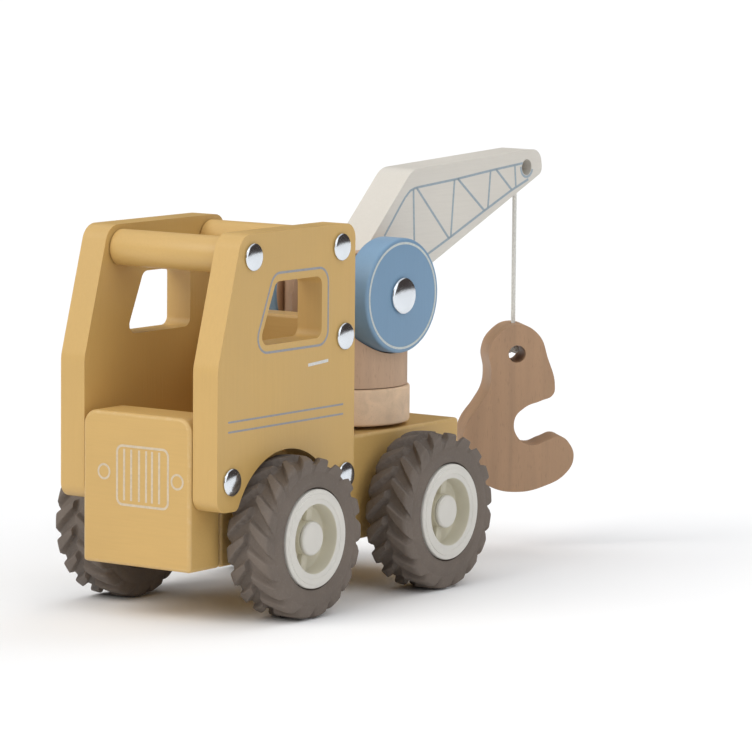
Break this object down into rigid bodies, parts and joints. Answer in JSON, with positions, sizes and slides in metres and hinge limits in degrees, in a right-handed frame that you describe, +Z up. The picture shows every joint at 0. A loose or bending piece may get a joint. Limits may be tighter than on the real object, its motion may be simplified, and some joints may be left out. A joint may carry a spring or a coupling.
{
  "type": "toy crane truck",
  "caption": "Wooden toy truck with an open cab, rubber-tyred wheels, a slewing and luffing crane boom between dials, and a wooden hook on a string.",
  "frame": {"origin": "on the ground under the middle of the object's box, which is also the crane's slew axis", "axes": "+Z up, the truck faces -Y, its left side is +X; the crane rests 3.4 degrees off the truck's centre line"},
  "size_m": [0.089, 0.2275, 0.1418],
  "materials": {
    "painted_ochre": "satin paint over wood",
    "painted_cream": "satin paint over wood",
    "painted_blue": "satin paint over wood",
    "natural_beech": "sanded, clear varnish",
    "hook_beech": "sanded, clear varnish",
    "tyre_rubber": "matt grey-brown rubber",
    "hub_plastic": "satin off-white plastic",
    "chromed_steel": "polished chrome",
    "plain_steel": "plain zinc-plated steel",
    "cotton_string": "twisted cotton"
  },
  "bodies": {
    "truck": {"chassis": "painted_ochre", "grille_block": "painted_ochre", "side_panel_left": "painted_ochre", "side_panel_right": "painted_ochre", "front_dowel": "painted_ochre", "rear_dowel": "painted_ochre", "rear_wall": "painted_ochre", "bolt_front_top_left": "chromed_steel", "bolt_rear_top_left": "chromed_steel", "bolt_rear_mid_left": "chromed_steel", "bolt_front_low_left": "chromed_steel", "bolt_rear_low_left": "chromed_steel", "bolt_front_top_right": "chromed_steel", "bolt_rear_top_right": "chromed_steel", "bolt_rear_mid_right": "chromed_steel", "bolt_front_low_right": "chromed_steel", "bolt_rear_low_right": "chromed_steel", "swivel_washer": "plain_steel", "swivel_bolt": "plain_steel"},
    "front_wheels": {"front_axle": "plain_steel", "tyre_front_left": "tyre_rubber", "tyre_front_right": "tyre_rubber", "hub_front_left": "hub_plastic", "hub_front_right": "hub_plastic", "hub_cap_front_left": "hub_plastic", "hub_cap_front_right": "hub_plastic"},
    "rear_wheels": {"rear_axle": "plain_steel", "tyre_rear_left": "tyre_rubber", "tyre_rear_right": "tyre_rubber", "hub_rear_left": "hub_plastic", "hub_rear_right": "hub_plastic", "hub_cap_rear_left": "hub_plastic", "hub_cap_rear_right": "hub_plastic"},
    "crane": {"turntable_ring": "natural_beech", "post": "natural_beech"},
    "boom": {"boom": "painted_cream", "dial_left": "painted_blue", "dial_right": "painted_blue", "pivot_bolt": "chromed_steel", "pivot_nut": "chromed_steel", "string_knot_top": "cotton_string"},
    "string_stub": {"string_stub": "cotton_string"},
    "string": {"string": "cotton_string"},
    "hook": {"hook": "hook_beech", "string_knot_hook": "cotton_string"}
  },
  "joints": [
    {"name": "front_axle_spin", "type": "hinge", "parent": "truck", "child": "front_wheels", "pos_m": [0, -0.0762, 0.0264], "axis": [1, 0, 0], "continuous": true},
    {"name": "rear_axle_spin", "type": "hinge", "parent": "truck", "child": "rear_wheels", "pos_m": [0, 0, 0.0264], "axis": [1, 0, 0], "continuous": true},
    {"name": "crane_slew", "type": "hinge", "parent": "truck", "child": "crane", "pos_m": [0, 0, 0.054], "axis": [0, 0, 1], "range_deg": [-121, 128]},
    {"name": "boom_luff", "type": "hinge", "parent": "crane", "child": "boom", "pos_m": [0, 0, 0.09815], "axis": [0.9982, -0.0593, 0], "range_deg": [-10, 35]},
    {"name": "hook_swing", "type": "hinge", "parent": "boom", "child": "string_stub", "pos_m": [0.00558, 0.09384, 0.12953], "axis": [0.9982, -0.0593, 0], "range_deg": [-12, 30]},
    {"name": "string_level", "type": "hinge", "parent": "string_stub", "child": "string", "pos_m": [0.00558, 0.09384, 0.12653], "axis": [0.9982, -0.0593, 0], "range_deg": [-35, 10]},
    {"name": "hook_turn", "type": "hinge", "parent": "string", "child": "hook", "pos_m": [0.00558, 0.09384, 0.0805], "axis": [0, 0, 1], "range_deg": [-180, 180]}
  ],
  "couplings": [
    {"joint": "string_level", "follows": "boom_luff", "ratio": -1}
  ]
}
